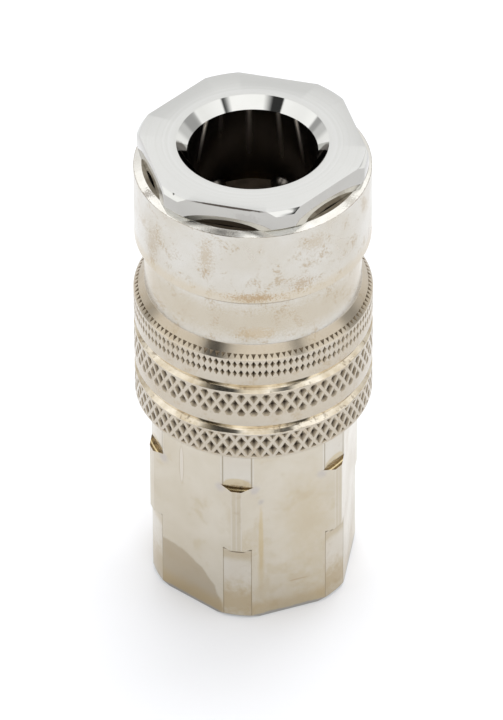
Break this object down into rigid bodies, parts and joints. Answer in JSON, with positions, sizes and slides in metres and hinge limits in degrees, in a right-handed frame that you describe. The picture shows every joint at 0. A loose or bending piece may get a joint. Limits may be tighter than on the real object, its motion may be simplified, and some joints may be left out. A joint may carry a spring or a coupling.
{
  "type": "quick coupling",
  "caption": "Push-to-connect air coupling: hexagon nose with a plug bore, knurled pull-back sleeve over locking balls, rear hexagon with a female pipe thread and an automatic shut-off valve.",
  "frame": {"origin": "centre of the pipe end's flat face, which the part stands on", "axes": "+Z along the axis from the pipe end to the plug mouth; -Y through a corner of the rear hexagon"},
  "size_m": [0.029, 0.029, 0.0645],
  "materials": {
    "chromed_steel": "bright chrome plate, flat face faintly turned",
    "nickel_plated_steel": "nickel plate, smooth bands and diamond knurl",
    "nickel_plated_brass": "nickel plate with warm tarnish",
    "spring_steel": "drawn wire",
    "nitrile_rubber": "moulded",
    "turned_brass": "turned",
    "ball_steel": "ground and polished"
  },
  "bodies": {
    "body": {"adapter": "nickel_plated_brass", "nose_barrel": "chromed_steel", "body_gasket": "nitrile_rubber", "plug_packing": "nitrile_rubber", "valve_seat": "turned_brass", "valve_guide": "turned_brass", "spring_washer": "spring_steel", "valve_spring": "spring_steel"},
    "spring": {"sleeve_spring": "spring_steel"},
    "sleeve": {"sleeve": "nickel_plated_steel"},
    "valve": {"valve_head": "turned_brass", "valve_washer": "nitrile_rubber", "washer_retainer": "turned_brass", "valve_stem": "turned_brass"},
    "ball_1": {"locking_ball_1": "ball_steel"},
    "ball_2": {"locking_ball_2": "ball_steel"},
    "ball_3": {"locking_ball_3": "ball_steel"},
    "ball_4": {"locking_ball_4": "ball_steel"},
    "ball_5": {"locking_ball_5": "ball_steel"},
    "ball_6": {"locking_ball_6": "ball_steel"}
  },
  "joints": [
    {"name": "sleeve_turn", "type": "hinge", "parent": "body", "child": "spring", "pos_m": [0, 0, 0.044], "axis": [0, 0, 1], "continuous": true},
    {"name": "sleeve_slide", "type": "slide", "parent": "spring", "child": "sleeve", "axis": [0, 0, -1], "range_m": [0, 0.0052], "stiffness_N_per_m": 1500, "springref_m": -0.006, "deforming": ["sleeve_spring"]},
    {"name": "valve_slide", "type": "slide", "parent": "body", "child": "valve", "axis": [0, 0, -1], "range_m": [0, 0.0032], "stiffness_N_per_m": 800, "springref_m": -0.004, "deforming": ["valve_spring"]},
    {"name": "ball_1_shift", "type": "slide", "parent": "body", "child": "ball_1", "axis": [0.9728, 0.2317, 0], "range_m": [0, 0.00085]},
    {"name": "ball_2_shift", "type": "slide", "parent": "body", "child": "ball_2", "axis": [0.2857, 0.9583, 0], "range_m": [0, 0.00085]},
    {"name": "ball_3_shift", "type": "slide", "parent": "body", "child": "ball_3", "axis": [-0.6871, 0.7266, 0], "range_m": [0, 0.00085]},
    {"name": "ball_4_shift", "type": "slide", "parent": "body", "child": "ball_4", "axis": [-0.9728, -0.2317, 0], "range_m": [0, 0.00085]},
    {"name": "ball_5_shift", "type": "slide", "parent": "body", "child": "ball_5", "axis": [-0.2857, -0.9583, 0], "range_m": [0, 0.00085]},
    {"name": "ball_6_shift", "type": "slide", "parent": "body", "child": "ball_6", "axis": [0.6871, -0.7266, 0], "range_m": [0, 0.00085]}
  ],
  "couplings": [
    {"joint": "ball_1_shift", "follows": "sleeve_slide", "ratio": 0.1634},
    {"joint": "ball_2_shift", "follows": "sleeve_slide", "ratio": 0.1634},
    {"joint": "ball_3_shift", "follows": "sleeve_slide", "ratio": 0.1634},
    {"joint": "ball_4_shift", "follows": "sleeve_slide", "ratio": 0.1634},
    {"joint": "ball_5_shift", "follows": "sleeve_slide", "ratio": 0.1634},
    {"joint": "ball_6_shift", "follows": "sleeve_slide", "ratio": 0.1634}
  ]
}
